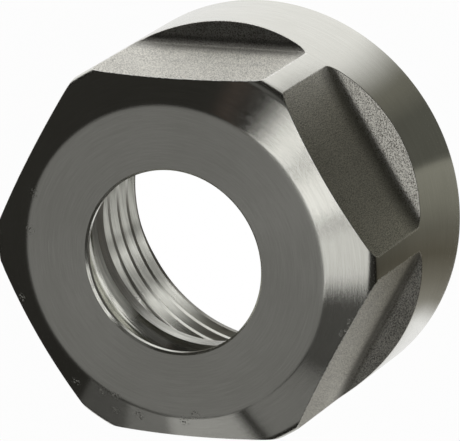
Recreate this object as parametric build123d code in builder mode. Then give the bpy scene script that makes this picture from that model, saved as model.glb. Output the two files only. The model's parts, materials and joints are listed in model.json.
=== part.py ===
from build123d import *
from math import cos, radians, sin, tan
import os

# Collet nut: turned from one hexagon-milled steel blank. Millimetres and degrees.
# The back face, with the thread's mouth, lies on Z = 0 and the nose points up +Z.

# Thread
THREAD_MAJOR_DIAMETER = 22.0
THREAD_PITCH = 1.5
MINOR_DIAMETER_PER_PITCH = 1.0825
MOUTH_OVERSIZE = 0.1
MOUTH_HALF_ANGLE = 60.0
THREAD_END_BEVEL = 0.3

# Relief groove in front of the thread
RELIEF_DEPTH = 0.2
RELIEF_WIDTH = 3.5
RELIEF_CORNER_BEVEL = 0.3

# Outside
LENGTH = 17.0
WALL_UNDER_FLATS = 1.3
FLAT_DEPTH = 1.5
FLAT_LENGTH = 9.7
FLAT_COUNT = 6
FIRST_FLAT_ANGLE = 30.0
RUNOUT_SLOPE = 36.5
RUNOUT_RADIUS = 1.0
NOSE_BEVEL_WIDTH = 3.15
NOSE_BEVEL_SLOPE = 28.5
FACE_BLEND_RADIUS = 1.0
SHOULDER_BLEND_RADIUS = 1.0
BACK_CHAMFER = 0.2

# Seat for the collet's front cone, and the recess behind it for the collet's collar
COLLET_DIAMETER = 17.0
COLLAR_CLEARANCE = 0.2
COLLAR_RECESS_DEPTH = 0.3
SEAT_HALF_ANGLE = 30.0
SEAT_WIDTH = 2.35
NOSE_LAND_LENGTH = 0.3
NOSE_BORE_CHAMFER = 0.15

# Off-centre lip that snaps into the collet's groove and pulls the collet out
LIP_REACH = 0.95
LIP_OFFSET = 0.45
LIP_OFFSET_ANGLE = 70.0
LIP_LENGTH = 3.0
LIP_TAPER = 23.0
LIP_CROWN_RADIUS = 0.5
LIP_CROWN_START = 80.0

# Radii that follow from the sizes above
thread_minor_radius = (THREAD_MAJOR_DIAMETER - MINOR_DIAMETER_PER_PITCH * THREAD_PITCH) / 2
mouth_radius = THREAD_MAJOR_DIAMETER / 2 + MOUTH_OVERSIZE
relief_radius = THREAD_MAJOR_DIAMETER / 2 + RELIEF_DEPTH
flat_radius = relief_radius + WALL_UNDER_FLATS
outer_radius = flat_radius + FLAT_DEPTH
face_radius = outer_radius - NOSE_BEVEL_WIDTH
collar_radius = COLLET_DIAMETER / 2 + COLLAR_CLEARANCE
bore_radius = collar_radius - SEAT_WIDTH
lip_radius = collar_radius - LIP_REACH
crown_centre_radius = lip_radius + LIP_CROWN_RADIUS

# Heights above the back face, worked out from the nose downwards
shoulder_height = LENGTH - NOSE_BEVEL_WIDTH * tan(radians(NOSE_BEVEL_SLOPE))
land_top = LENGTH - NOSE_BORE_CHAMFER
seat_top = land_top - NOSE_LAND_LENGTH
seat_bottom = seat_top - SEAT_WIDTH / tan(radians(SEAT_HALF_ANGLE))
lip_top = seat_bottom - COLLAR_RECESS_DEPTH
lip_bottom = lip_top - LIP_LENGTH
crown_centre_height = lip_top - LIP_CROWN_RADIUS * sin(radians(LIP_CROWN_START))
crown_end_radius = crown_centre_radius - LIP_CROWN_RADIUS * cos(radians(LIP_TAPER))
crown_end_height = crown_centre_height - LIP_CROWN_RADIUS * sin(radians(LIP_TAPER))
lip_back_radius = crown_end_radius + (crown_end_height - lip_bottom) * tan(radians(LIP_TAPER))
thread_top = lip_bottom - RELIEF_WIDTH
mouth_depth = (mouth_radius - thread_minor_radius) / tan(radians(MOUTH_HALF_ANGLE))
flat_bottom = LENGTH - FLAT_LENGTH

# The cutter of a wrench flat: a flat that runs out into a sloping wall through a soft corner
cutter_reach = outer_radius + FLAT_DEPTH
runout_drop = (cutter_reach - flat_radius) * tan(radians(RUNOUT_SLOPE))

with BuildPart() as flat_cutter:
    with BuildSketch(Plane.XZ):
        with BuildLine():
            Polyline(
                (flat_radius, LENGTH + FLAT_DEPTH),
                (flat_radius, flat_bottom),
                (cutter_reach, flat_bottom - runout_drop),
                (cutter_reach, LENGTH + FLAT_DEPTH),
                close=True,
            )
        make_face()
        fillet(vertices().sort_by_distance((flat_radius, flat_bottom))[0], RUNOUT_RADIUS)
    extrude(amount=outer_radius, both=True)

with BuildPart() as nut_body:
    # Turned blank: round body, conical nose, flat front face
    with BuildSketch(Plane.XZ):
        with BuildLine():
            Polyline(
                (0, 0),
                (outer_radius - BACK_CHAMFER, 0),
                (outer_radius, BACK_CHAMFER),
                (outer_radius, shoulder_height),
                (face_radius, LENGTH),
                (0, LENGTH),
                close=True,
            )
        make_face()
        fillet(vertices().sort_by_distance((outer_radius, shoulder_height))[0], SHOULDER_BLEND_RADIUS)
        fillet(vertices().sort_by_distance((face_radius, LENGTH))[0], FACE_BLEND_RADIUS)
    revolve(axis=Axis.Z)

    # Wrench flats, milled from the nose and stopped short of the round back
    with PolarLocations(0, FLAT_COUNT, start_angle=FIRST_FLAT_ANGLE):
        add(flat_cutter.part, mode=Mode.SUBTRACT)

    # Nose bore, cone seat and collar recess
    with BuildSketch(Plane.XZ):
        with BuildLine():
            Polyline(
                (0, LENGTH),
                (bore_radius + NOSE_BORE_CHAMFER, LENGTH),
                (bore_radius, land_top),
                (bore_radius, seat_top),
                (collar_radius, seat_bottom),
                (collar_radius, lip_top),
                (0, lip_top),
                close=True,
            )
        make_face()
    revolve(axis=Axis.Z, mode=Mode.SUBTRACT)

    # Thread mouth, thread wall at its minor diameter, and relief groove
    with BuildSketch(Plane.XZ):
        with BuildLine():
            Polyline(
                (0, 0),
                (mouth_radius, 0),
                (thread_minor_radius, mouth_depth),
                (thread_minor_radius, thread_top - THREAD_END_BEVEL),
                (thread_minor_radius + THREAD_END_BEVEL, thread_top),
                (relief_radius, thread_top),
                (relief_radius, lip_bottom),
                (0, lip_bottom),
                close=True,
            )
        make_face()
        chamfer(vertices().sort_by_distance((relief_radius, thread_top))[0], RELIEF_CORNER_BEVEL)
        chamfer(vertices().sort_by_distance((relief_radius, lip_bottom))[0], RELIEF_CORNER_BEVEL)
    revolve(axis=Axis.Z, mode=Mode.SUBTRACT)

    # Lip bore, turned about an axis of its own beside the nut's axis: a crowned front edge
    # that runs into a taper towards the back
    lip_centre = (
        LIP_OFFSET * cos(radians(LIP_OFFSET_ANGLE)),
        LIP_OFFSET * sin(radians(LIP_OFFSET_ANGLE)),
        0,
    )
    with BuildSketch(Plane(origin=lip_centre, x_dir=(1, 0, 0), z_dir=(0, -1, 0))):
        with BuildLine():
            crown = CenterArc(
                (crown_centre_radius, crown_centre_height),
                LIP_CROWN_RADIUS,
                start_angle=180 - LIP_CROWN_START,
                arc_size=LIP_CROWN_START + LIP_TAPER,
            )
            Polyline(
                crown @ 1,
                (lip_back_radius, lip_bottom),
                (0, lip_bottom),
                (0, lip_top),
                crown @ 0,
            )
        make_face()
    revolve(axis=Axis(lip_centre, (0, 0, 1)), mode=Mode.SUBTRACT)

nut_body.part.label = "nut_body"

os.makedirs("parts", exist_ok=True)
export_step(nut_body.part, "parts/nut_body.step")
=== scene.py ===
# %% [markdown]
# # A collet nut in satin steel
#
# A collet nut screws onto a tool holder. Its cone seat presses a spring collet shut, and its
# off-centre lip pulls the collet out again. The part is one piece of turned steel with six
# milled wrench flats, so the scene holds one piece as well, on a plain pale floor.
#
# The CAD model gives every size. It is loaded first and never changed: the dressed nut is a
# finer mesh that stands in its place, with a real helical thread, softly broken edges and a
# lip whose small forms follow the photograph more closely.

import json
import math

import bpy
import numpy as np
from mathutils import Matrix, Vector


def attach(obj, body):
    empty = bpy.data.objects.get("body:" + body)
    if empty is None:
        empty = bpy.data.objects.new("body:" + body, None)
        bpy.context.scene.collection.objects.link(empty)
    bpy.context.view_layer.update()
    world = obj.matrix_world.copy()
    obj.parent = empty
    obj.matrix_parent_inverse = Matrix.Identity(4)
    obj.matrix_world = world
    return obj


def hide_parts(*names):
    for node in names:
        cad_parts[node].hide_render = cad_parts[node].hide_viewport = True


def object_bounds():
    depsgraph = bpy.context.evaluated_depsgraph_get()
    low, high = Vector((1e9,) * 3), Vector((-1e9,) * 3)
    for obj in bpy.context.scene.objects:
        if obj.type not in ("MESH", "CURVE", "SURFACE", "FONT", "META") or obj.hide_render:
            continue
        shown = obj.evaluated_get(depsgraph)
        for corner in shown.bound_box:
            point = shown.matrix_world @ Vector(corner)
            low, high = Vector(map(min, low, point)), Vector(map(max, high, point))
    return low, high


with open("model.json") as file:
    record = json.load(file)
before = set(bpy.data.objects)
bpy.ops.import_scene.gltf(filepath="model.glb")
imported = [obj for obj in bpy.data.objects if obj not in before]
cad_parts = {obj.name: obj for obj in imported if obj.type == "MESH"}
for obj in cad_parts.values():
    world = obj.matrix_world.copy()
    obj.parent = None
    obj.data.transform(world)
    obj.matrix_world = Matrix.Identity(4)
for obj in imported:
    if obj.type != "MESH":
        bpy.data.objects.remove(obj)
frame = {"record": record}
cad_low, cad_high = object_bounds()
print("CAD box in mm", [round(1000 * v, 2) for v in (*cad_low, *cad_high)])

# %% [markdown]
# ## Sizes
#
# All lengths below are the millimetres of the drawing. The outside diameter is measured on the
# loaded frame, and one drawing millimetre follows from it. The bore, the thread and the flats
# come from the record's mounts, so they agree with what the part is checked against.

# %% Sizes of the nut
OUTSIDE_DIAMETER = 28.0
MM = (cad_high.x - cad_low.x) / OUTSIDE_DIAMETER
mounts = {mount["name"]: mount for mount in frame["record"]["mounts"]}

outer = OUTSIDE_DIAMETER / 2
length = (cad_high.z - cad_low.z) / MM
thread_minor = mounts["holder_thread"]["dims"]["r_mm"]
nose_bore = mounts["nose_bore"]["dims"]["r_mm"]
flat = -mounts["wrench_flat_a"]["pos_m"][1] / MM
print("outer", outer, "length", length, "flat", flat, "bore", nose_bore, "thread", thread_minor)

# %% [markdown]
# ## How the outside is meshed
#
# The outside is a lathe shape with six flats milled into it. A boolean would leave ragged
# slivers along the curved edges, and those edges are what catches the light on a real nut. So
# the mesh is laid out by hand: each of the six sectors has rows that start on the edge of its
# flat. Then that edge is a clean line of vertices, and it can be broken with a narrow bevel.
#
# Every patch gives its corners and the true surface normals there. Faces share their corners
# where they meet, and the normals keep flats flat and turned faces smooth.

# %% A small store for patches
class Patches:
    """Quads from many patches, each corner with its own normal, and a finish for each quad."""

    def __init__(self):
        self.corners, self.normals, self.finishes = [], [], []

    def add(self, points, normals, finish, flip=False):
        """A grid of points, rows by columns, becomes quads that face along their normals."""
        points, normals = np.asarray(points, float), np.asarray(normals, float)
        normals = np.broadcast_to(normals, points.shape)
        order = [(0, 0), (0, 1), (1, 1), (1, 0)]
        rows, columns = points.shape[0] - 1, points.shape[1] - 1
        quads = [points[a : a + rows, b : b + columns].reshape(-1, 3) for a, b in order]
        facing = [normals[a : a + rows, b : b + columns].reshape(-1, 3) for a, b in order]
        if flip:
            quads, facing = quads[::-1], facing[::-1]
        self.corners.append(np.stack(quads, 1))
        self.normals.append(np.stack(facing, 1))
        self.finishes.append(np.full(rows * columns, finish))


def turned(points, angle):
    """Points or normals turned about the nut's axis by an angle in radians."""
    c, s = math.cos(angle), math.sin(angle)
    return np.asarray(points) @ np.array([[c, s, 0], [-s, c, 0], [0, 0, 1]])


def unit(vectors):
    """Vectors of length one."""
    vectors = np.asarray(vectors, float)
    return vectors / np.linalg.norm(vectors, axis=-1, keepdims=True)


# %% [markdown]
# ## The turned outside
#
# From the back face the profile goes up the round body, through a soft shoulder onto the
# 28.5 degree nose cone, and through a second soft edge onto the flat front face. It is kept as
# a fine list of radius and height with the slope at each point, so any height can be looked up.

# %% Profile of the outside
NOSE_SLOPE = math.radians(28.5)
NOSE_WIDTH = 3.15
EDGE_RADIUS = 1.0
BACK_CHAMFER = 0.2
ARC_STEPS = 10

face_edge = outer - NOSE_WIDTH
shoulder = length - NOSE_WIDTH * math.tan(NOSE_SLOPE)


def rounded(corner, start, end, radius=EDGE_RADIUS):
    """Points and normals of a fillet: it turns from the angle start to the angle end."""
    reach = radius * math.tan((end - start) / 2)
    along = start + math.pi / 2
    touch = np.array(corner) - reach * np.array([math.cos(along), math.sin(along)])
    centre = touch - radius * np.array([math.cos(start), math.sin(start)])
    turn = np.linspace(start, end, ARC_STEPS + 1)
    normals = np.stack([np.cos(turn), np.sin(turn)], 1)
    return centre + radius * normals, normals


cone_angle = math.pi / 2 - NOSE_SLOPE
shoulder_arc, shoulder_facing = rounded((outer, shoulder), 0.0, cone_angle)
face_arc, face_facing = rounded((face_edge, length), cone_angle, math.pi / 2)
body_line = np.array([(outer, BACK_CHAMFER)])
profile = np.concatenate([body_line, shoulder_arc, face_arc])
profile_facing = np.concatenate([np.array([(1.0, 0.0)]), shoulder_facing, face_facing])


def outside(height):
    """Radius of the turned outside at a height, and its normal in the plane of the axis."""
    radius = np.interp(height, profile[:, 1], profile[:, 0])
    tilt = np.interp(height, profile[:, 1], np.arctan2(profile_facing[:, 1], profile_facing[:, 0]))
    return radius, np.stack([np.cos(tilt), np.sin(tilt)], -1)


print("shoulder", round(shoulder, 3), "front face from radius", round(face_arc[-1][0], 3))

# %% [markdown]
# ## The milled flats
#
# Each wrench flat is milled down from the nose. The cutter stops short of the round back and
# leaves a wall that slopes outwards, with a soft corner at its foot. Looked at from the side of
# the flat, the cut is one line: straight, then a fillet, then the slope.

# %% Profile of a cut
FLAT_LENGTH = 9.7
WALL_SLOPE = math.radians(36.5)
WALL_RADIUS = 1.0
FLATS = 6
FIRST_FLAT = math.radians(30.0)

flat_foot = length - FLAT_LENGTH
wall_turn = math.pi / 2 - WALL_SLOPE
arc_reach = WALL_RADIUS * math.tan(wall_turn / 2)
arc_top = flat_foot + arc_reach
arc_low = flat_foot - arc_reach * math.sin(WALL_SLOPE)


def cut(height):
    """Distance of the cut surface from the axis at a height, and its normal beside the axis."""
    height = np.asarray(height, float)
    inside = np.clip(arc_top - height, 0, WALL_RADIUS * math.sin(wall_turn))
    arc = flat + WALL_RADIUS - np.sqrt(WALL_RADIUS**2 - inside**2)
    wall = flat + (flat_foot - height) / math.tan(WALL_SLOPE)
    tilt = np.where(height < arc_low, wall_turn, np.arcsin(inside / WALL_RADIUS))
    distance = np.where(height < arc_low, wall, arc)
    return distance, np.stack([np.cos(tilt), np.sin(tilt)], -1)


cut_low = flat_foot - (outer - flat) * math.tan(WALL_SLOPE)
cut_high = length - (flat - face_edge) * math.tan(NOSE_SLOPE)
print("a cut runs from", round(cut_low, 3), "to", round(cut_high, 3))

# %% [markdown]
# ## The edge round a flat
#
# The cut meets the turned outside where both have the same radius. That gives the angle of the
# edge at each height. The heights are then chosen again, so that the steps along the edge are
# even: close together at the two apexes, where the edge runs sideways.
#
# Tumbling breaks such an edge by a few hundredths of a millimetre, and knocks leave small
# nicks. So the bevel has a plain width, plus a few short places where it is wider.

# %% The edge of a cut
EDGE_STEP = 0.22
APEX_STEP = 0.55
FINE_POINTS = 4001
TANGENT_REACH = 0.01

fine_share = (1 - np.cos(np.linspace(0, math.pi, FINE_POINTS))) / 2
fine = cut_low + (cut_high - cut_low) * fine_share
fine_angle = np.arccos(np.clip(cut(fine)[0] / outside(fine)[0], -1, 1))
fine_angle[[0, -1]] = 0
fine_point = np.stack(
    [outside(fine)[0] * np.cos(fine_angle), outside(fine)[0] * np.sin(fine_angle), fine], 1
)
along = np.concatenate([[0], np.cumsum(np.linalg.norm(np.diff(fine_point, axis=0), axis=1))])
edge_rows = int(round(along[-1] / EDGE_STEP))
edge_along = np.linspace(APEX_STEP, along[-1] - APEX_STEP, edge_rows - 1)
edge_along = np.concatenate([[0], edge_along, [along[-1]]])
edge_height = np.interp(edge_along, along, fine)
edge_point = np.stack([np.interp(edge_along, along, fine_point[:, k]) for k in range(3)], 1)
edge_angle = np.arctan2(edge_point[:, 1], edge_point[:, 0])
ahead = np.interp(edge_along + TANGENT_REACH, along, np.arange(len(along)))
behind = np.interp(edge_along - TANGENT_REACH, along, np.arange(len(along)))


def fine_at(index):
    """A point between the fine points of the edge."""
    return np.stack([np.interp(index, np.arange(len(fine)), fine_point[:, k]) for k in range(3)], 1)


edge_tangent = unit(fine_at(ahead) - fine_at(behind))
print("edge of half a flat", round(along[-1], 2), "mm in", edge_rows, "steps")

# %% Where the bevel touches its two surfaces
EDGE_BREAK = 0.055
WAVE_DEPTH, WAVE_RATE, WAVE_START = 0.25, 2.1, 6.3
NICKS_PER_FLAT = 16
NICK_DEPTH = 0.085
NICK_LENGTH = 0.16
NICK_SEED = 16
APEX_CLEAR = 1.0
LEVEL_RISE, RISE_SPAN = 0.1, 0.6

draw = np.random.default_rng(NICK_SEED)


def edge_width():
    """Bevel width along half an edge, with a few nicks where the edge runs up the nut."""
    wave = np.sin(edge_along * WAVE_RATE + draw.uniform(0, WAVE_START))
    width = EDGE_BREAK * (1 + WAVE_DEPTH * wave)
    for _ in range(NICKS_PER_FLAT // 2):
        middle = draw.uniform(APEX_CLEAR, along[-1] - APEX_CLEAR)
        depth = NICK_DEPTH * draw.uniform(0.1, 1.0) ** 2
        width = width + depth * np.exp(-(((edge_along - middle) / NICK_LENGTH) ** 2))
    rise = np.abs(edge_tangent[:, 2])
    upright = np.clip((rise - LEVEL_RISE) / RISE_SPAN, 0, 1)
    return EDGE_BREAK + (width - EDGE_BREAK) * upright


def on_outside(angle, height):
    """Points and normals of the turned outside."""
    radius, facing = outside(height)
    around = np.stack([np.cos(angle), np.sin(angle)], -1)
    points = np.concatenate([radius[..., None] * around, height[..., None]], -1)
    return points, np.concatenate([facing[..., :1] * around, facing[..., 1:]], -1)


def on_wall(aside, height):
    """Points and normals of the cut, at places beside the middle of the flat."""
    away, facing = cut(height)
    points = np.stack([away, aside, height], -1)
    return points, np.stack([facing[..., 0], 0 * away, facing[..., 1]], -1)


def edge_lines(width):
    """The bevel's line on the turned outside and its line on the cut, for one half of a flat."""
    _, out_normal = on_outside(edge_angle, edge_height)
    _, cut_normal = on_wall(edge_point[:, 1], edge_height)
    out_step = np.cross(out_normal, edge_tangent)
    out_step *= -np.sign(np.sum(out_step * cut_normal, 1, keepdims=True))
    cut_step = np.cross(cut_normal, edge_tangent)
    cut_step *= -np.sign(np.sum(cut_step * out_normal, 1, keepdims=True))
    on_out = edge_point + width[:, None] * out_step
    on_cut = edge_point + width[:, None] * cut_step
    on_out[[0, -1], 1] = on_cut[[0, -1], 1] = 0
    return on_out, on_cut


print("bevel width", 2 * EDGE_BREAK, "mm, nicks on each flat", NICKS_PER_FLAT)

# %% [markdown]
# ## One sector
#
# A sector is sixty degrees wide, with its flat in the middle. Its rows run from the flat's edge
# to the border with the next sector, where all sectors use the same heights, so they join
# without a gap. The columns stand at the same angles in every row, and those that would lie
# inside the flat are pushed out onto its edge: that keeps long thin faces off the round
# surface. The flat itself is spanned from its left edge to its right edge.

# %% Build the six sectors
COLUMNS = 20
CUT_COLUMNS = 24
SECTOR = math.pi / FLATS
TRIM = 0.3
TURNED, BLASTED, BORE, WORN, GROOVED = 0, 1, 2, 3, 4

nut = Patches()
border_height = edge_lines(np.full(len(edge_height), EDGE_BREAK))[0][:, 2]
column = np.linspace(0, SECTOR, COLUMNS + 1)
cut_share = np.linspace(0, 1, CUT_COLUMNS + 1)

for k in range(FLATS):
    middle = FIRST_FLAT + 2 * SECTOR * k
    cut_edges = []
    for side in (1, -1):
        on_out, on_cut = edge_lines(edge_width())
        start = np.arctan2(on_out[:, 1:2], on_out[:, :1])
        beyond = np.where(column - start < TRIM * column[1], 0, column - start)
        share = beyond / (SECTOR - start)
        angle = start + beyond
        height = on_out[:, 2:] * (1 - share) + border_height[:, None] * share
        points, normals = on_outside(side * angle, height)
        nut.add(turned(points, middle), turned(normals, middle), TURNED, flip=side < 0)
        cut_edge, cut_normal = on_wall(side * on_cut[:, 1], on_cut[:, 2])
        strip = np.stack([cut_edge, points[:, 0]], 1)
        strip_normal = unit(np.stack([cut_normal, normals[:, 0]], 1))
        nut.add(turned(strip, middle), turned(strip_normal, middle), WORN, flip=side < 0)
        cut_edges.append(cut_edge)
    right, left = cut_edges
    span = left[:, None] * (1 - cut_share[:, None]) + right[:, None] * cut_share[:, None]
    span, span_normal = on_wall(span[..., 1], span[..., 2])
    nut.add(turned(span, middle), turned(span_normal, middle), BLASTED)
print("sectors", FLATS, "quads so far", sum(len(c) for c in nut.corners))

# %% [markdown]
# ## Rings
#
# Everything else is turned: closed rings of points, each pair joined by a band of faces. A ring
# may have its own centre, because the lip inside is bored off the nut's axis. A straight piece
# of profile is one band with the normals of its own slope, so the turned corners stay crisp.

# %% Bands between rings
RING = 2 * COLUMNS * FLATS
ring_angle = FIRST_FLAT + np.arange(RING + 1) * 2 * math.pi / RING
ring_heading = np.stack([-np.sin(ring_angle), np.cos(ring_angle), 0 * ring_angle], 1)


def ring(radius, height, centre=(0.0, 0.0)):
    """One closed ring of points; radius may be one number or one for each point."""
    points = np.stack([radius * np.cos(ring_angle), radius * np.sin(ring_angle)], 1)
    return np.concatenate([points + centre, np.full((RING + 1, 1), height)], 1)


def ring_normal(across, up):
    """Normals for a ring: across is away from the axis."""
    around = np.stack([across * np.cos(ring_angle), across * np.sin(ring_angle)], 1)
    return unit(np.concatenate([around, np.full((RING + 1, 1), up)], 1))


def band(rings, facings, finish):
    """Faces between rings that follow each other with the surface on their right."""
    nut.add(rings, [ring_normal(*facing) for facing in facings], finish)


def straight(lower, upper, finish, lower_centre=(0.0, 0.0), upper_centre=(0.0, 0.0)):
    """A band between two rings, each a radius and a height, with the normals of its slope."""
    rings = np.stack([ring(*lower, lower_centre), ring(*upper, upper_centre)])
    nut.add(rings, unit(np.cross(ring_heading, rings[1] - rings[0])), finish)


# %% Round body, nose cone and front face
NOSE_CHAMFER = 0.15
BODY_ROWS = 8
MOUTH = 11.1

body_heights = np.linspace(BACK_CHAMFER, border_height[0], BODY_ROWS + 1)
band([ring(outer, h) for h in body_heights], [(1.0, 0.0)] * len(body_heights), TURNED)
top_radius = outside(border_height[-1])[0]
above = [(top_radius, border_height[-1], cone_angle)]
above += [(r, h, math.atan2(n[1], n[0])) for (r, h), n in zip(face_arc, face_facing)]
band([ring(r, h) for r, h, _ in above], [(math.cos(a), math.sin(a)) for *_, a in above], TURNED)
straight((face_arc[-1][0], length), (nose_bore + NOSE_CHAMFER, length), TURNED)
straight((MOUTH, 0.0), (outer - BACK_CHAMFER, 0.0), TURNED)
straight((outer - BACK_CHAMFER, 0.0), (outer, BACK_CHAMFER), TURNED)
print("round body, cone, front face and back face, quads so far", sum(len(c) for c in nut.corners))

# %% [markdown]
# ## Inside the nose
#
# Behind the short land of the bore comes the 30 degree seat that closes the collet, and then a
# recess for the collet's collar. All of this is turned about the nut's axis, so a few straight
# bands between rings make it.

# %% Bore, seat and recess
LAND = 0.3
SEAT_HALF_ANGLE = math.radians(30.0)
SEAT_WIDTH = 2.35
RECESS = 0.3

land_top = length - NOSE_CHAMFER
seat_top = land_top - LAND
collar = nose_bore + SEAT_WIDTH
seat_low = seat_top - SEAT_WIDTH / math.tan(SEAT_HALF_ANGLE)
lip_top = seat_low - RECESS

straight((nose_bore + NOSE_CHAMFER, length), (nose_bore, land_top), BORE)
straight((nose_bore, land_top), (nose_bore, seat_top), BORE)
straight((nose_bore, seat_top), (collar, seat_low), BORE)
straight((collar, seat_low), (collar, lip_top), BORE)
print("seat from", round(seat_top, 2), "to", round(seat_low, 2), "recess to", round(lip_top, 2))

# %% [markdown]
# ## The lip
#
# The lip's bore is turned about a centre of its own, 0.45 mm beside the nut's axis, so one side
# of the lip stands out. A collet snaps in tilted over the round front edge, and the wide side of
# the lip pulls it out again.
#
# The CAD model has the round edge with a plain taper behind it. The photograph shows more: the
# edge runs into a slightly bulging flank, the flank into a short upright land with another
# centre, and the land into a taper. Rings with centres of their own make all of it. The flank
# is a quadratic bend between two of them, and the slope of the bend gives its normals.

# %% Round front edge and flank of the lip
LIP_REACH = 0.95
LIP_LENGTH = 3.0
LIP_OFFSET = 0.45
LIP_DIRECTION = math.radians(70.0)
CROWN_RADIUS = 0.5
CROWN_START, CROWN_END = math.radians(80.0), math.radians(46.0)
CROWN_STEPS = 12
FLANK_BULGE = 0.11
FLANK_STEPS = 8
LAND_RADIUS = 7.98
LAND_HIGH, LAND_LOW = 11.4, 10.3
LAND_OFFSET = 0.55
LAND_DIRECTION = math.radians(-10.0)

lip = collar - LIP_REACH
lip_low = lip_top - LIP_LENGTH
beside = LIP_OFFSET * np.array([math.cos(LIP_DIRECTION), math.sin(LIP_DIRECTION)])
land_beside = LAND_OFFSET * np.array([math.cos(LAND_DIRECTION), math.sin(LAND_DIRECTION)])

crown_turn = np.linspace(math.pi - CROWN_START, math.pi - CROWN_END, CROWN_STEPS + 1)
crown_facing = np.stack([np.cos(crown_turn), np.sin(crown_turn)], 1)
crown_middle = np.array([lip + CROWN_RADIUS, lip_top - CROWN_RADIUS * math.sin(CROWN_START)])
crown = crown_middle + CROWN_RADIUS * crown_facing
straight((collar, lip_top), tuple(crown[0]), BORE, upper_centre=beside)
band([ring(r, h, beside) for r, h in crown], crown_facing.tolist(), BORE)

flank_top, flank_end = ring(*crown[-1], beside), ring(LAND_RADIUS, LAND_HIGH, land_beside)
bulge = FLANK_BULGE * unit(np.cross(ring_heading, flank_end - flank_top))
bend = (flank_top + flank_end) / 2 + bulge
share = np.linspace(0, 1, FLANK_STEPS + 1)[:, None, None]
flank = (1 - share) ** 2 * flank_top + 2 * share * (1 - share) * bend + share**2 * flank_end
slope = (1 - share) * (bend - flank_top) + share * (flank_end - bend)
nut.add(flank, unit(np.cross(ring_heading, slope)), BORE)
print("lip from", round(lip_top, 2), "to", round(lip_low, 2), "radius", round(lip, 2))

# %% [markdown]
# ## Behind the lip
#
# The land and the taper finish the lip. Then a groove gives the thread cutter room to run out.
# Its corner beside the lip is bevelled, as the corner of the turning tool leaves it.

# %% Land, back taper and relief groove
LIP_BACK_RADIUS = 8.74
GROOVE_WIDTH = 3.5
GROOVE = 11.2
GROOVE_CORNER = 0.3

groove_low = lip_low - GROOVE_WIDTH
straight((LAND_RADIUS, LAND_HIGH), (LAND_RADIUS, LAND_LOW), BORE, land_beside, land_beside)
straight((LAND_RADIUS, LAND_LOW), (LIP_BACK_RADIUS, lip_low), BORE, land_beside, beside)
straight((LIP_BACK_RADIUS, lip_low), (GROOVE - GROOVE_CORNER, lip_low), GROOVED, beside)
straight((GROOVE - GROOVE_CORNER, lip_low), (GROOVE, lip_low - GROOVE_CORNER), GROOVED)
straight((GROOVE, lip_low - GROOVE_CORNER), (GROOVE, groove_low), GROOVED)
print("groove from", round(lip_low, 2), "to", round(groove_low, 2))

# %% [markdown]
# ## The thread
#
# The CAD model only has the thread's minor diameter, because a helix would cost it many faces.
# Here it is cut in full: 60 degree flanks, narrow crests and a pitch of 1.5 mm. Blender's Screw
# modifier sweeps such a profile too, but leaves open ends. So the rows of faces are laid along
# the helix by hand, and crest and root are clean lines. At both ends a row is held back to the
# end's height, and the mouth's chamfer and the bevel at the groove cut across the turns.

# %% The helical thread
PITCH = 1.5
THREAD_MAJOR = 11.0
FLANK = math.radians(60.0)
CREST = PITCH / 4
MOUTH_ANGLE = math.radians(60.0)
THREAD_END_BEVEL = 0.3
CREST_HEIGHT = 0.505
CREST_ANGLE = math.radians(84.0)
CREST_ROWS, FLANK_ROWS, ROOT_ROWS = 2, 5, 2
TURNS_BELOW = 3

flank_height = (THREAD_MAJOR - thread_minor) / math.tan(FLANK)
root = PITCH - CREST - 2 * flank_height
keys = np.cumsum([0, CREST, flank_height, root, flank_height])
key_radii = [thread_minor, thread_minor, THREAD_MAJOR, THREAD_MAJOR, thread_minor]


def thread_radius(angle, height):
    """Radius of the threaded hole, and which surface makes it: 0 thread, 1 mouth, 2 end bevel."""
    turn = (height - CREST_HEIGHT) / PITCH - (angle - CREST_ANGLE) / (2 * math.pi)
    thread = np.interp(turn % 1 * PITCH, keys, key_radii)
    mouth = MOUTH - height * math.tan(MOUTH_ANGLE)
    end = thread_minor + THREAD_END_BEVEL - (groove_low - height)
    choices = np.stack([thread, mouth, end])
    return choices.max(0), choices.argmax(0)


def thread_facing(slope, kind):
    """Normals into the hole, for a wall whose radius changes by slope with height."""
    slope = np.select([kind == 1, kind == 2], [-math.tan(MOUTH_ANGLE), 1.0], slope)
    around = np.broadcast_to(ring_angle, slope.shape)
    return unit(np.stack([-np.cos(around), -np.sin(around), slope], -1))


turns = int(math.ceil(length / PITCH)) + 1
start = CREST_HEIGHT - TURNS_BELOW * PITCH
spans = [(0, CREST_ROWS, 0.0), (1, FLANK_ROWS, 1.0), (2, ROOT_ROWS, 0.0), (3, FLANK_ROWS, -1.0)]
rise = PITCH * (ring_angle - CREST_ANGLE) / (2 * math.pi)
for turn in range(turns):
    for key, rows, sign in spans:
        level = start + turn * PITCH + np.linspace(keys[key], keys[key + 1], rows + 1)
        height = np.clip(level[:, None] + rise, 0, groove_low)
        if height.max() <= 0 or height.min() >= groove_low:
            continue
        radius, kind = thread_radius(ring_angle, height)
        points = np.stack([radius * np.cos(ring_angle), radius * np.sin(ring_angle), height], -1)
        facing = thread_facing(np.full(height.shape, sign * math.tan(FLANK)), kind)
        nut.add(points, facing, BORE, flip=True)
thread_end = ring(thread_radius(ring_angle, np.full(RING + 1, groove_low))[0], groove_low)
nut.add([ring(GROOVE, groove_low), thread_end], [ring_normal(0, 1)] * 2, GROOVED)
print("thread crest", round(CREST, 3), "flank", round(flank_height, 3), "root", round(root, 3))

# %% [markdown]
# ## Join the patches
#
# Corners that fall on the same point become one vertex. Rows that were squeezed together give
# faces with fewer than three corners, and those are left out. The kept normals are handed to
# the mesh, so the broken edges shade as if they were round. A second cell counts open edges: a
# solid piece has none.

# %% Weld and make the mesh
WELD = 1e-5


def add_object(name, data):
    """A new object of the scene."""
    made = bpy.data.objects.new(name, data)
    bpy.context.scene.collection.objects.link(made)
    return made


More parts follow.
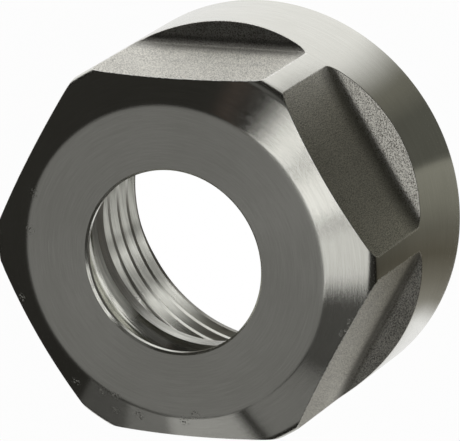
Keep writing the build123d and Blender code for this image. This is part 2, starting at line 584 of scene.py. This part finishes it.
corners = np.concatenate(nut.corners)
normals = np.concatenate(nut.normals)
finishes = np.concatenate(nut.finishes)
grid = np.round(corners.reshape(-1, 3) / WELD).astype(np.int64)
_, first, index = np.unique(grid, axis=0, return_index=True, return_inverse=True)
points = corners.reshape(-1, 3)[first]
index = index.reshape(-1, 4)

faces, face_normals, face_finish = [], [], []
for face, facing, finish in zip(index.tolist(), normals, finishes):
    keep = [k for k in range(4) if face[k] != face[k - 1]]
    if len(keep) > 2 and len({face[k] for k in keep}) == len(keep):
        faces.append([face[k] for k in keep])
        face_normals.extend(facing[keep])
        face_finish.append(finish)

mesh = bpy.data.meshes.new("nut_dressed")
mesh.from_pydata((points * MM).tolist(), [], faces)
mesh.polygons.foreach_set("material_index", face_finish)
mesh.polygons.foreach_set("use_smooth", [True] * len(faces))
mesh.normals_split_custom_set([tuple(n) for n in unit(face_normals)])
mesh.validate()
dressed = add_object("nut_dressed", mesh)
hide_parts("nut_body")
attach(dressed, "root")
print("vertices", len(points), "triangles", sum(len(f) - 2 for f in faces))

# %% Check the mesh
sides = {}
for face in faces:
    for a, b in zip(face, face[1:] + face[:1]):
        sides[(a, b)] = sides.get((a, b), 0) + 1
open_sides = sum(1 for a, b in sides if (b, a) not in sides)
doubled = sum(1 for n in sides.values() if n > 1)
print("open edges", open_sides, "edges walked twice the same way", doubled)

# %% [markdown]
# ## Writing a finish as arithmetic
#
# A finish is a tree of shader nodes. The small class below holds one socket of that tree, and
# ordinary arithmetic on it adds Math nodes, so a mask can be written like a formula. All other
# nodes come from one method, `node`. The same tree could be drawn by hand in the shader editor,
# but a script can be read, changed in one place and run again.

# %% Shader arithmetic
class Wire:
    """One output of a node, in the node tree of a material."""

    def __init__(self, tree, socket):
        self.tree, self.socket = tree, socket

    def math(self, operation, *others, first=None):
        """A Math node of this value and the others."""
        values = [self if first is None else first, *others]
        return node(self.tree, "ShaderNodeMath", {"operation": operation}, dict(enumerate(values)))

    def __add__(self, other):
        return self.math("ADD", other)

    __radd__ = __add__

    def __mul__(self, other):
        return self.math("MULTIPLY", other)

    __rmul__ = __mul__

    def __sub__(self, other):
        return self.math("SUBTRACT", other)

    def __rsub__(self, other):
        return self.math("SUBTRACT", self, first=other)

    def __truediv__(self, other):
        return self.math("DIVIDE", other)


def node(tree, kind, settings=None, sockets=None, out=0):
    """A node with its settings and sockets filled in, as the wire of one of its outputs."""
    made = tree.nodes.new(kind)
    for name, value in (settings or {}).items():
        if name == "stops":
            ramp = made.color_ramp
            while len(ramp.elements) < len(value):
                ramp.elements.new(1.0)
            for element, (place, colour) in zip(ramp.elements, value):
                element.position, element.color = place, colour
        else:
            setattr(made, name, value)
    for name, value in (sockets or {}).items():
        if isinstance(value, Wire):
            tree.links.new(value.socket, made.inputs[name])
        else:
            made.inputs[name].default_value = value
    return Wire(tree, made.outputs[out]) if made.outputs else made


def smooth(value, low, high):
    """0 below low, 1 above high, and a soft step between them."""
    settings = {"interpolation_type": "SMOOTHSTEP"}
    return node(value.tree, "ShaderNodeMapRange", settings, {0: value, 1: low, 2: high})


def blend(factor, first, second):
    """A colour between two colours."""
    tree = factor.tree
    return node(tree, "ShaderNodeMix", {"data_type": "RGBA"}, {0: factor, 6: first, 7: second}, 2)


def noise(place, scale, detail=2.0, roughness=0.5):
    """A noise between about 0.3 and 0.7 at places given in millimetres."""
    sockets = {"Vector": place, "Scale": scale, "Detail": detail, "Roughness": roughness}
    return node(place.tree, "ShaderNodeTexNoise", None, sockets)


def vector(x, y, z):
    """A vector from three values."""
    return node(x.tree, "ShaderNodeCombineXYZ", None, {0: x, 1: y, 2: z})


def new_finish(name):
    """An empty material: its tree, the place on the nut in millimetres, and x, y, z of it."""
    material = bpy.data.materials.new(name)
    material.use_nodes = True
    tree = material.node_tree
    tree.nodes.clear()
    place = node(tree, "ShaderNodeTexCoord", None, None, 3)
    place = node(tree, "ShaderNodeVectorMath", {"operation": "SCALE"}, {0: place, "Scale": 1 / MM})
    xyz = node(tree, "ShaderNodeSeparateXYZ", None, {0: place})
    sockets = xyz.socket.node.outputs
    return material, tree, place, [Wire(tree, sockets[k]) for k in range(3)]


# %% Places round the axis
AXIS_GAP = 0.01


def distance(x, y):
    """How far a place is from the axis, or from a point when x and y are measured from it."""
    return (x * x + y * y).math("SQRT")


def turn_share(x, y):
    """The bearing of a place from +X towards +Y, as a share of a full turn."""
    return (y.math("ARCTAN2", x) / (2 * math.pi) + 1.0).math("FRACT")


def tone_round(share, stops):
    """A grey tone for each bearing, from stops of degrees and tone."""
    stops = tuple((degrees / 360, (tone, tone, tone, 1.0)) for degrees, tone in stops)
    return node(share.tree, "ShaderNodeValToRGB", {"stops": stops}, {0: share})


def highest(masks):
    """The highest of several masks at each place."""
    most = masks[0]
    for mask in masks[1:]:
        most = most.math("MAXIMUM", mask)
    return most


def lathe_lines(x, y, radius, width, along):
    """Places where a noise is stretched into lines round the axis; width is small for long lines."""
    return vector(x / (radius + AXIS_GAP) * width, y / (radius + AXIS_GAP) * width, along)


def steel(tree, colour, roughness, bump, bump_depth, **constants):
    """A metal shader with varying colour, roughness and bump, and constants on its own sockets."""
    bump = {"Strength": 1.0, "Distance": bump_depth * MM, "Height": bump}
    normal = node(tree, "ShaderNodeBump", None, bump)
    sockets = {"Base Color": colour, "Roughness": roughness, "Normal": normal, "Metallic": 1.0}
    sockets.update({name.replace("_", " "): value for name, value in constants.items()})
    shader = node(tree, "ShaderNodeBsdfPrincipled", None, sockets)
    node(tree, "ShaderNodeOutputMaterial", None, {0: shader})


# %% [markdown]
# ## Turned steel
#
# The front face, the cone and the round body were finished on a lathe. The tool leaves rings so
# fine that single ones hardly show, but together they spread a reflection across the rings and
# leave it sharp along them. Modelled rings would cost millions of faces. Anisotropic gloss gives
# the same look, and its constant direction round the axis is Blender's default. A noise that is
# stretched round the axis adds the lines that do show.
#
# Handling has left a few small nicks on the cone. Near each chosen place, a fine noise is let
# through as dull specks that lie a little below the surface.

# %% Turned finish
TURNED_DARK = (0.67, 0.665, 0.61, 1.0)
TURNED_LIGHT = (0.76, 0.755, 0.70, 1.0)
TURNED_WIDTH = 0.3
TURNED_FINE = (14.0, 3.0, 0.7)
TURNED_WIDE = (2.2, 2.0, 0.5)
TURNED_CLOUD = (0.25, 2.0)
FINE_SHARE, WIDE_SHARE, CLOUD_SHARE = 0.6, 0.1, 0.3
TURNED_STEP = (0.36, 0.64)
FACE_RISE = 0.1

turned_steel, tree, place, (x, y, z) = new_finish("turned_steel")
radius = distance(x, y)
swirl = lathe_lines(x, y, radius, TURNED_WIDTH, radius - z)
fine_lines = noise(swirl, *TURNED_FINE)
wide_lines = noise(swirl, *TURNED_WIDE)
cloud = noise(place, *TURNED_CLOUD)
lines = fine_lines * FINE_SHARE + wide_lines * WIDE_SHARE
tone = smooth(lines + cloud * CLOUD_SHARE, *TURNED_STEP)
front_face = smooth(z, length - FACE_RISE, length)
print("turned steel between", TURNED_DARK[:3], "and", TURNED_LIGHT[:3])

# %% Small marks on the cone
SMALL_MARKS = (
    (77.0, 12.3), (109.0, 12.2), (119.0, 11.2), (124.0, 10.9),
    (125.0, 12.1), (134.0, 11.6), (156.0, 10.7), (151.0, 11.2),
    (220.0, 12.6), (224.0, 12.9), (52.0, 10.6), (38.0, 10.9),
)
MARK_CORE, MARK_REACH = 0.1, 0.45
MARK_GRAIN = (5.0, 3.0)
MARK_STEP = (0.52, 0.56)
MARKS_ABOVE = (15.0, 15.1)
TURNED_ROUGHNESS = 0.10
FACE_DULL, LINES_DULL, CLOUD_DULL, MARKS_DULL = 0.06, 0.05, 0.03, 0.4
FINE_HEIGHT, WIDE_HEIGHT, MARK_DEPTH = 0.96, 0.04, 2.0
TURNED_BUMP = 0.005
TURNED_SPREAD = 0.95
ACROSS_RINGS = 0.25

marks = []
for mark_bearing, mark_radius in SMALL_MARKS:
    turn = math.radians(mark_bearing)
    away = distance(x - mark_radius * math.cos(turn), y - mark_radius * math.sin(turn))
    marks.append(1.0 - smooth(away, MARK_CORE, MARK_REACH))
specks = smooth(noise(place, *MARK_GRAIN), *MARK_STEP)
marks = highest(marks) * specks * smooth(z, *MARKS_ABOVE)
dull = TURNED_ROUGHNESS + front_face * FACE_DULL + fine_lines * LINES_DULL
steel(
    tree,
    blend(tone, TURNED_DARK, TURNED_LIGHT),
    dull + cloud * CLOUD_DULL + marks * MARKS_DULL,
    fine_lines * FINE_HEIGHT + wide_lines * WIDE_HEIGHT - marks * MARK_DEPTH,
    TURNED_BUMP,
    Anisotropic=TURNED_SPREAD,
    Anisotropic_Rotation=ACROSS_RINGS,
)
print("small marks", len(SMALL_MARKS))

# %% [markdown]
# ## Blasted steel
#
# The flats and the walls at their foot were blasted after milling, so they are matt and grainy.
# Small craters overlap everywhere. A Voronoi pattern gives the craters, a noise breaks them up,
# and the crater floors are a little darker than the crests between them.
#
# The steel at the foot of a flat is painted darker, as painted shade in the corner there.
# The walls on one side of the nut are painted darker too, as painted shade, and a ramp by
# bearing says how much.

# %% Blasted finish
BLASTED_DARK = (0.22, 0.21, 0.18, 1.0)
BLASTED_LIGHT = (0.87, 0.85, 0.775, 1.0)
CRATERS = 11.0
CRATER_HEIGHT = 0.4
GRAIN = (12.0, 2.0, 0.75)
PATCHES = (0.5, 2.0)
RELIEF_SHARE, PATCHES_SHARE = 0.9, 0.1
BLASTED_STEP = (0.52, 0.76)

blasted_steel, tree, place, (x, y, z) = new_finish("blasted_steel")
craters = node(tree, "ShaderNodeTexVoronoi", None, {"Vector": place, "Scale": CRATERS})
grain = noise(place, *GRAIN)
patchy = noise(place, *PATCHES)
relief = craters * CRATER_HEIGHT + grain
tone = smooth(relief * RELIEF_SHARE + patchy * PATCHES_SHARE, *BLASTED_STEP)
print("craters of about", round(1 / CRATERS, 3), "mm")

# %% Painted shade at the foot of the flats and on one side of the nut
BLASTED_PAINTED_SHADE = (0.05, 0.047, 0.04, 1.0)
FOOT_SHADE = 0.6
FOOT_LOW = (flat_foot - 0.3, flat_foot)
FOOT_HIGH = (flat_foot + 0.2, flat_foot + 2.5)
SLOPE_SHADE = (
    (180.0, 0.12), (235.0, 0.12), (250.0, 0.07),
    (290.0, 0.07), (302.0, 0.82), (358.0, 0.82),
)
SLOPE_TOP = (flat_foot + 0.1, flat_foot + 0.5)
SLOPE_PLAIN = 0.68
CORNER_LOW = (flat_foot - 0.5, flat_foot - 0.25)
BLASTED_ROUGHNESS, PATCHES_DULL = 0.34, 0.1
BLASTED_BUMP = 0.03

# Painted shade: the foot of each flat is darkened, as if shade fell into the corner.
foot = smooth(z, *FOOT_LOW) * (1.0 - smooth(z, *FOOT_HIGH))
# Painted shade: by bearing, the walls below the flats are darkened on one side of the nut.
slope_shade = tone_round(turn_share(x, y), SLOPE_SHADE) * (1.0 - smooth(z, *SLOPE_TOP))
slope_shade = slope_shade * (SLOPE_PLAIN + (1 - SLOPE_PLAIN) * smooth(z, *CORNER_LOW))
shade = (foot * FOOT_SHADE).math("MAXIMUM", slope_shade)
steel(
    tree,
    blend(shade, blend(tone, BLASTED_DARK, BLASTED_LIGHT), BLASTED_PAINTED_SHADE),
    BLASTED_ROUGHNESS + patchy * PATCHES_DULL,
    relief,
    BLASTED_BUMP,
)
print("foot of the flats from", round(FOOT_LOW[0], 2), "to", round(FOOT_HIGH[1], 2))

# %% [markdown]
# ## Worn edges
#
# The broken edge between a flat and the turned surface has been rubbed bright by handling. It
# is the same steel, smoother and a little lighter, with no direction in its gloss. Edge wear is
# often masked by how sharply a mesh bends. Here the bevel is a band of faces of its own, so it
# simply has its own material.

# %% Worn finish
WORN_DARK = (0.68, 0.67, 0.62, 1.0)
WORN_LIGHT = (0.88, 0.87, 0.82, 1.0)
RUBBING = (3.0, 3.0, 0.6)
WORN_STEP = (0.35, 0.65)
WORN_ROUGHNESS, RUBBING_DULL = 0.2, 0.14
WORN_BUMP = 0.01

worn_steel, tree, place, (x, y, z) = new_finish("worn_steel")
rubbing = noise(place, *RUBBING)
steel(
    tree,
    blend(smooth(rubbing, *WORN_STEP), WORN_DARK, WORN_LIGHT),
    WORN_ROUGHNESS + rubbing * RUBBING_DULL,
    rubbing,
    WORN_BUMP,
)
print("worn edges, quads", int((finishes == WORN).sum()))

# %% [markdown]
# ## Bored and threaded steel
#
# Inside, the seat, the lip and the thread were turned too, with slightly coarser rings. The
# same idea serves: lines round the axis, and gloss that spreads across them.
#
# Round the thread, dull and bright stretches of painted reflection follow each other. One ramp
# by bearing gives them.
# The edge of the nose bore is lighter in colour, and one side of the lip's flank is duller.

# %% Bored finish
BORED_DARK = (0.38, 0.38, 0.345, 1.0)
BORED_LIGHT = (0.95, 0.95, 0.875, 1.0)
BORED_PLAIN = 0.5
BORED_WIDTH = 0.5
BORED_LEAN = 0.6
BORED_FINE = (7.0, 3.0, 0.6)
BORED_CLOUD = (0.4, 2.0)
BORED_FINE_SHARE, BORED_CLOUD_SHARE = 0.7, 0.3
BORED_STEP = (0.36, 0.64)
# Painted reflection: a tone for each bearing, lighter where the thread should mirror bright light,
# darker where it mirrors dark.
THREAD_PAINTED_SHINE = (
    (55.0, 0.66), (72.0, 0.70), (75.0, 0.25), (79.0, 0.60),
    (81.5, 0.78), (86.0, 0.42), (90.0, 0.10), (96.0, 0.18),
    (99.0, 0.52), (102.0, 0.98), (150.0, 0.98), (170.0, 0.50),
)

bored_steel, tree, place, (x, y, z) = new_finish("bored_steel")
radius = distance(x, y)
swirl = lathe_lines(x, y, radius, BORED_WIDTH, radius * BORED_LEAN + z)
fine_lines = noise(swirl, *BORED_FINE)
cloud = noise(place, *BORED_CLOUD)
tone = smooth(fine_lines * BORED_FINE_SHARE + cloud * BORED_CLOUD_SHARE, *BORED_STEP)
round_share = turn_share(x, y)
painted_shine = tone_round(round_share, THREAD_PAINTED_SHINE)
print("tones round the thread", len(THREAD_PAINTED_SHINE))

# %% Thread, bore edge and lip in the bored finish
THREAD_TOP = (groove_low - 0.1, groove_low)
NOSE_EDGE = (seat_top - 0.03, seat_top)
NOSE_EDGE_LIGHT, LINES_LIGHT = 0.45, 0.4
FLANK_LOW = (LAND_HIGH - 0.02, LAND_HIGH + 0.02)
FLANK_HIGH = (lip_top - 0.3, lip_top - 0.2)
DULL_SIDE, DULL_EDGE = 105.0 / 360, 0.015
THREAD_ROUGHNESS, LIP_GLOSS = 0.25, 0.08
FLANK_DULL, BORED_CLOUD_DULL = 0.3, 0.06
BORED_BUMP = 0.009
BORED_SPREAD = 0.8

in_thread = 1.0 - smooth(z, *THREAD_TOP)
nose_edge = smooth(z, *NOSE_EDGE)
# The painted reflection of the ramp is used on the thread only.
plain = BORED_PLAIN + (painted_shine - BORED_PLAIN) * in_thread
tone = plain + nose_edge * NOSE_EDGE_LIGHT + (tone - BORED_PLAIN) * LINES_LIGHT
on_flank = smooth(z, *FLANK_LOW) * (1.0 - smooth(z, *FLANK_HIGH))
dull_side = 1.0 - smooth(round_share, DULL_SIDE - DULL_EDGE, DULL_SIDE + DULL_EDGE)
roughness = THREAD_ROUGHNESS - smooth(z, groove_low, lip_low) * LIP_GLOSS
steel(
    tree,
    blend(tone, BORED_DARK, BORED_LIGHT),
    roughness + on_flank * dull_side * FLANK_DULL + cloud * BORED_CLOUD_DULL,
    fine_lines,
    BORED_BUMP,
    Anisotropic=BORED_SPREAD,
    Anisotropic_Rotation=ACROSS_RINGS,
)
print("bored steel, quads", int((finishes == BORE).sum()))

# %% [markdown]
# ## The groove
#
# The relief groove is painted darker and browner than the rest, as painted shade in the recess.
# It is also rougher, and a soft noise spreads the dark colour unevenly.

# %% Grooved finish
# Painted shade: the groove's two colours are darker and browner than the bored steel.
GROOVED_DARK = (0.25, 0.23, 0.20, 1.0)
GROOVED_LIGHT = (0.36, 0.335, 0.30, 1.0)
GROOVE_NOISE = (1.2, 3.0, 0.6)
GROOVE_NOISE_STEP = (0.35, 0.65)
GROOVED_GRAIN = (9.0, 2.0, 0.6)
GROOVED_ROUGHNESS, GROOVE_NOISE_DULL = 0.34, 0.14
GROOVED_BUMP = 0.008

grooved_steel, tree, place, (x, y, z) = new_finish("grooved_steel")
groove_noise = noise(place, *GROOVE_NOISE)
steel(
    tree,
    blend(smooth(groove_noise, *GROOVE_NOISE_STEP), GROOVED_DARK, GROOVED_LIGHT),
    GROOVED_ROUGHNESS + groove_noise * GROOVE_NOISE_DULL,
    noise(place, *GROOVED_GRAIN),
    GROOVED_BUMP,
)
for finish in (turned_steel, blasted_steel, bored_steel, worn_steel, grooved_steel):
    mesh.materials.append(finish)
print("finishes", [m.name for m in mesh.materials])

# %% [markdown]
# ## Camera
#
# The photograph is taken from far away with a long lens, from above the nose and a little to
# one side, and the camera is rolled. The nut stands on its thread mouth here, so the camera
# looks down on it at 61 degrees. Its place comes from fitting the drawn edges to the picture.

# %% Place the camera
PICTURE_WIDTH = 460
FOCAL_PIXELS = 6393.9
SENSOR = 36.0
CAMERA_PLACE = Vector((16.5085, -208.5761, 390.1542))
CAMERA_RIGHT = Vector((-0.49567, -0.77142, -0.39903))
CAMERA_UP = Vector((0.86771, -0.42010, -0.26570))
NEAREST, FURTHEST = 0.01, 50.0

camera = add_object("camera", bpy.data.cameras.new("camera"))
camera.data.sensor_width = SENSOR
camera.data.lens = FOCAL_PIXELS / PICTURE_WIDTH * SENSOR
camera.data.clip_start, camera.data.clip_end = NEAREST, FURTHEST
turn = Matrix((CAMERA_RIGHT, CAMERA_UP, CAMERA_RIGHT.cross(CAMERA_UP))).transposed()
camera.matrix_world = Matrix.Translation(CAMERA_PLACE * MM) @ turn.to_4x4()
bpy.context.scene.camera = camera
print("lens", round(camera.data.lens, 1), "mm, distance", round(CAMERA_PLACE.length), "mm")

# %% [markdown]
# ## Floor
#
# The floor is a plain pale sheet. The picture's background is white, also through the bore,
# where the floor lies in the nut's own shade. More light could make it white, but would bleach
# the steel too. So to the camera, and to rays that come off the metal or through glass, the
# floor is mostly a white sheet of strength 1; the rest of it is a plain painted surface that
# keeps the nut's shadow.

# %% Make the floor
FLOOR_SIZE = 6.0
FLOOR_GAP = 0.00002

half = FLOOR_SIZE / 2
floor_corners = [(-half, -half, 0), (half, -half, 0), (half, half, 0), (-half, half, 0)]
floor_mesh = bpy.data.meshes.new("floor")
floor_mesh.from_pydata(floor_corners, [], [(0, 1, 2, 3)])
floor = add_object("floor", floor_mesh)
floor.location.z = cad_low.z - FLOOR_GAP
print("floor", FLOOR_SIZE, "m wide, lowered by", FLOOR_GAP, "m")

# %% Paint the floor
FLOOR_COLOUR = (0.88, 0.88, 0.87, 1.0)
PAINT_SHADE = 0.97
PAINT_NOISE = (0.05, 2.0)
# Painted shade: under the nut the floor paint is a dark brown, which the lip and the thread mirror.
BORE_PAINTED_SHADE = (0.40, 0.35, 0.30, 1.0)
UNDER_NUT = (MOUTH + 0.5, outer - 0.5)

painted, tree, place, (x, y, z) = new_finish("floor_paint")
shaded_paint = tuple(PAINT_SHADE * c for c in FLOOR_COLOUR[:3]) + (1.0,)
paint = blend(noise(place, *PAINT_NOISE), FLOOR_COLOUR, shaded_paint)
radius = distance(x, y)
open_floor = smooth(radius, *UNDER_NUT)
diffuse = node(tree, "ShaderNodeBsdfDiffuse", None, {"Color": blend(open_floor, BORE_PAINTED_SHADE, paint)})
white = node(tree, "ShaderNodeEmission", None, {"Color": (1, 1, 1, 1), "Strength": 1.0})
print("painted", FLOOR_COLOUR[:3])

# %% [markdown]
# ## White to the camera and to the metal
#
# Light Path tells what kind of ray looks at the floor, and the shares of white follow from it.
# Only the lip and the thread mirror the floor inside the bore. To them most of it is shaded
# floor, painted dark brown as painted shade, with a few soft spots of painted light where light
# would fall in through the bore. Without these the lip would be a dark ring, because a polished
# bore has no tone of its own.

# %% White shares of the floor
WHITE_SHARE = 0.975
BORE_SHARE = 0.045
# Painted light: soft white spots on the floor inside the bore, which only the metal sees.
PAINTED_LIGHT_SPOTS = (
    (4.2, -0.2, 1.6), (5.4, 2.8, 2.6), (4.3, 5.9, 1.9),
    (1.7, 4.5, 1.4), (-2.6, 7.5, 1.5), (-5.7, 7.2, 1.9),
)
SPOT_EDGE = 0.7
SPOTS_END = (9.2, 9.7)

spots = []
for spot_x, spot_y, spot_radius in PAINTED_LIGHT_SPOTS:
    away = distance(x - spot_x, y - spot_y)
    spots.append(1.0 - smooth(away, spot_radius - SPOT_EDGE, spot_radius + SPOT_EDGE))
spots = highest(spots) * (1.0 - smooth(radius, *SPOTS_END))

ray = node(tree, "ShaderNodeLightPath").socket.node.outputs
camera_ray = Wire(tree, ray["Is Camera Ray"])
glossy_ray = Wire(tree, ray["Is Glossy Ray"])
clear_ray = Wire(tree, ray["Is Transmission Ray"])
to_camera = camera_ray * (1.0 - open_floor * (1.0 - WHITE_SHARE))
bore_share = BORE_SHARE + spots * (1.0 - BORE_SHARE)
to_metal = (glossy_ray + clear_ray) * (bore_share + open_floor * (WHITE_SHARE - bore_share))
share_white = (to_camera + to_metal).math("MINIMUM", 1.0)
surface = node(tree, "ShaderNodeMixShader", None, {0: share_white, 1: diffuse, 2: white})
node(tree, "ShaderNodeOutputMaterial", None, {0: surface})
floor_mesh.materials.append(painted)
print("bright spots", len(PAINTED_LIGHT_SPOTS))

# %% [markdown]
# ## Card
#
# Steel in a white room looks white all over. Photographers lay dark card near it, which gives
# the metal its dark tones. Here one flat card lies in front of the nut and all round it further
# out. Only reflections see it: the picture keeps its pale floor, and no light is held back.
#
# Lit by the lamps, the card would change whenever a lamp does. So it glows faintly by itself,
# and a ramp by bearing gives it the run of tones that the round body shows. These tones are a
# painted reflection: the steel mirrors them as its light and dark bands.

# %% Lay the card
CARD_NEAR = 14.05
CARD_FAR = 48.0
CARD_LIFT = 0.05
CARD_STEPS = 96

around = np.radians(np.linspace(0, 360, CARD_STEPS, endpoint=False))
around = np.stack([np.cos(around), np.sin(around), np.zeros(CARD_STEPS)], 1)
card_points = np.concatenate([CARD_NEAR * around * MM, around * FLOOR_SIZE / 2])
card_points[:, 2] = floor.location.z + CARD_LIFT * MM
card_faces = []
for k in range(CARD_STEPS):
    following = (k + 1) % CARD_STEPS
    card_faces.append((k, k + CARD_STEPS, following + CARD_STEPS, following))
card_mesh = bpy.data.meshes.new("card")
card_mesh.from_pydata(card_points.tolist(), [], card_faces)
card = add_object("card", card_mesh)
card.visible_camera = card.visible_diffuse = False
card.visible_shadow = card.visible_transmission = False
print("card from", CARD_NEAR, "mm out, faces", len(card_faces))

# %% Where the card covers the floor
NEAR_START, NEAR_END = (201.0, 212.0), (281.0, 302.0)
SIDE_START, SIDE_END = (140.0, 175.0), (205.0, 215.0)
SIDE_INNER = (15.0, 17.5)
SIDE_COVER = 0.72
SLANT_FROM, SLANT_PER_MM, SLANT_MOST = 17.5, 5.0, 14.0
FAR_EDGE = (CARD_FAR - 8.0, CARD_FAR)

card_paper, tree, place, (x, y, z) = new_finish("card_paper")
radius = distance(x, y)
round_share = turn_share(x, y)
degrees = round_share * 360.0
slant = (radius - SLANT_FROM) * SLANT_PER_MM
slant = slant.math("MAXIMUM", 0.0).math("MINIMUM", SLANT_MOST)
near_part = smooth(degrees, *NEAR_START) * (1.0 - smooth(degrees - slant, *NEAR_END))
side_part = smooth(degrees, *SIDE_START) * (1.0 - smooth(degrees, *SIDE_END))
side_part = side_part * smooth(radius, *SIDE_INNER)
far_part = smooth(radius, *FAR_EDGE)
cover = (near_part + side_part * SIDE_COVER + far_part).math("MINIMUM", 1.0)
print("near part from", NEAR_START[0], "to", NEAR_END[1], "degrees")

# %% Painted reflection tones of the card
# Painted reflection: the glowing tones of the card by bearing, which the steel mirrors.
PAINTED_REFLECTION_TONES = (
    (0.558, (0.80, 0.77, 0.68, 1.0)),
    (0.583, (0.80, 0.77, 0.68, 1.0)),
    (0.606, (0.52, 0.49, 0.41, 1.0)),
    (0.630, (0.32, 0.295, 0.23, 1.0)),
    (0.653, (0.41, 0.395, 0.33, 1.0)),
    (0.675, (0.62, 0.61, 0.52, 1.0)),
    (0.706, (0.77, 0.76, 0.66, 1.0)),
    (0.712, (0.29, 0.29, 0.25, 1.0)),
    (0.753, (0.28, 0.28, 0.24, 1.0)),
    (0.776, (0.46, 0.45, 0.38, 1.0)),
    (0.800, (0.60, 0.59, 0.52, 1.0)),
)
DARK_REFLECTION = (0.028, 0.026, 0.022, 1.0)
DARKER_FROM = (17.5, 20.0)
DARKER_BY = 0.35
CARD_GLOW = 0.34

tone = node(tree, "ShaderNodeValToRGB", {"stops": PAINTED_REFLECTION_TONES}, {0: round_share})
darkness = far_part.math("MAXIMUM", smooth(radius, *DARKER_FROM) * DARKER_BY)
painted_reflection = blend(darkness, tone, DARK_REFLECTION)
glow = node(tree, "ShaderNodeEmission", None, {"Color": painted_reflection, "Strength": CARD_GLOW})
clear = node(tree, "ShaderNodeBsdfTransparent")
surface = node(tree, "ShaderNodeMixShader", None, {0: cover, 1: clear, 2: glow})
node(tree, "ShaderNodeOutputMaterial", None, {0: surface})
card_mesh.materials.append(card_paper)
print("tones of the card", len(PAINTED_REFLECTION_TONES), "strength", CARD_GLOW)

# %% [markdown]
# ## Lights
#
# Steel looks like what it mirrors. Three panes of one large soft window stand over the camera
# and light one part of the cone. A dim panel overhead gives the front face its even grey. It
# reaches past the zenith, so no dark line lies between the face and the cone. Low strips light
# the cone's far edge, and three faint glows lift its dark parts, one of them brown.
#
# All lamps are area lights that face the nut, so their light is soft. A point lamp would leave
# one hard glint. Their brightness is written as the strength that the metal sees.

# %% Area lamps
LAMP_DISTANCE = 0.9


def soft_box(name, middle, along, left, right, low, high, brightness):
    """An area lamp on a wall that faces the nut. Its edges are tangents of angles from the
    wall's middle, and its brightness is the strength that the metal sees."""
    middle, along = Vector(middle).normalized(), Vector(along)
    along = (along - along.dot(middle) * middle).normalized()
    across = middle.cross(along)
    data = bpy.data.lights.new(name, "AREA")
    data.shape = "RECTANGLE"
    data.size, data.size_y = (right - left) * LAMP_DISTANCE, (high - low) * LAMP_DISTANCE
    data.energy = brightness * math.pi * data.size * data.size_y
    place = middle + along * (left + right) / 2 + across * (low + high) / 2
    turn = Matrix((along, across, middle)).transposed()
    lamp = add_object(name, data)
    lamp.matrix_world = Matrix.Translation(place * LAMP_DISTANCE) @ turn.to_4x4()


def bearing(azimuth, elevation):
    """A direction from the nut: azimuth from +X towards +Y, elevation above the floor."""
    a, e = math.radians(azimuth), math.radians(elevation)
    return Vector((math.cos(a) * math.cos(e), math.sin(a) * math.cos(e), math.sin(e)))


# %% Window and overhead panel
WINDOW = (-0.157, -0.372, 0.915)
WINDOW_ALONG = (0.978, -0.183, 0.096)
WINDOW_LOW, WINDOW_HIGH = -0.85, 0.2
PANES = ((-0.475, -0.108, 0.74), (-0.076, 0.250, 1.02), (0.292, 0.560, 1.08))
OVERHEAD, SIDEWAYS = (94, 61), (1, 0, 0)
OVERHEAD_EDGES = (-0.72, 0.42, -0.74, 0.32)
OVERHEAD_LIGHT = 0.165

for k, (left, right, brightness) in enumerate(PANES):
    soft_box(f"window_{k}", WINDOW, WINDOW_ALONG, left, right, WINDOW_LOW, WINDOW_HIGH, brightness)
soft_box("overhead_panel", bearing(*OVERHEAD), SIDEWAYS, *OVERHEAD_EDGES, OVERHEAD_LIGHT)
print("window panes", len(PANES))

# %% Low strips and glows
UPWARD = (0, 0, 1)
BROWN_LIGHT = (1.0, 0.55, 0.4)
LOW_BOXES = (
    ("low_strip", 131, 14, -0.23, 0.23, -0.18, 0.14, 0.36),
    ("low_strip_dim", 155, 28, -0.2, 0.2, -0.27, 0.17, 0.17),
    ("edge_glow", 318, 34, -0.2, 0.2, -0.2, 0.2, 0.08),
    ("brown_glow", 335, 54, -0.3, 0.3, -0.03, 0.03, 0.035),
    ("side_glow", 190, 44, -0.25, 0.25, -0.25, 0.25, 0.04),
    ("low_strip_end", 117, 12, -0.2, 0.2, -0.1, 0.06, 0.17),
    ("low_strip_tail", 109, 10, -0.2, 0.2, -0.08, 0.08, 0.07),
)

for name, azimuth, elevation, *edges, brightness in LOW_BOXES:
    soft_box(name, bearing(azimuth, elevation), UPWARD, *edges, brightness)
bpy.data.lights["brown_glow"].color = BROWN_LIGHT
print("low strips and glows", len(LOW_BOXES))

# %% [markdown]
# ## Room light
#
# The room itself adds very little light, slightly warm. It keeps the darkest steel from being
# dead black. The Standard view shows each colour as it is written.

# %% Light the room
ROOM_COLOUR = (1.0, 0.97, 0.88, 1.0)
ROOM_LIGHT = 0.026

world = bpy.data.worlds.new("studio")
bpy.context.scene.world = world
world.use_nodes = True
tree = world.node_tree
tree.nodes.clear()
studio = node(tree, "ShaderNodeBackground", None, {"Color": ROOM_COLOUR, "Strength": ROOM_LIGHT})
node(tree, "ShaderNodeOutputWorld", None, {0: studio})
bpy.context.scene.view_settings.view_transform = "Standard"
print("lamps", len(PANES) + 1 + len(LOW_BOXES), "room light", ROOM_LIGHT)
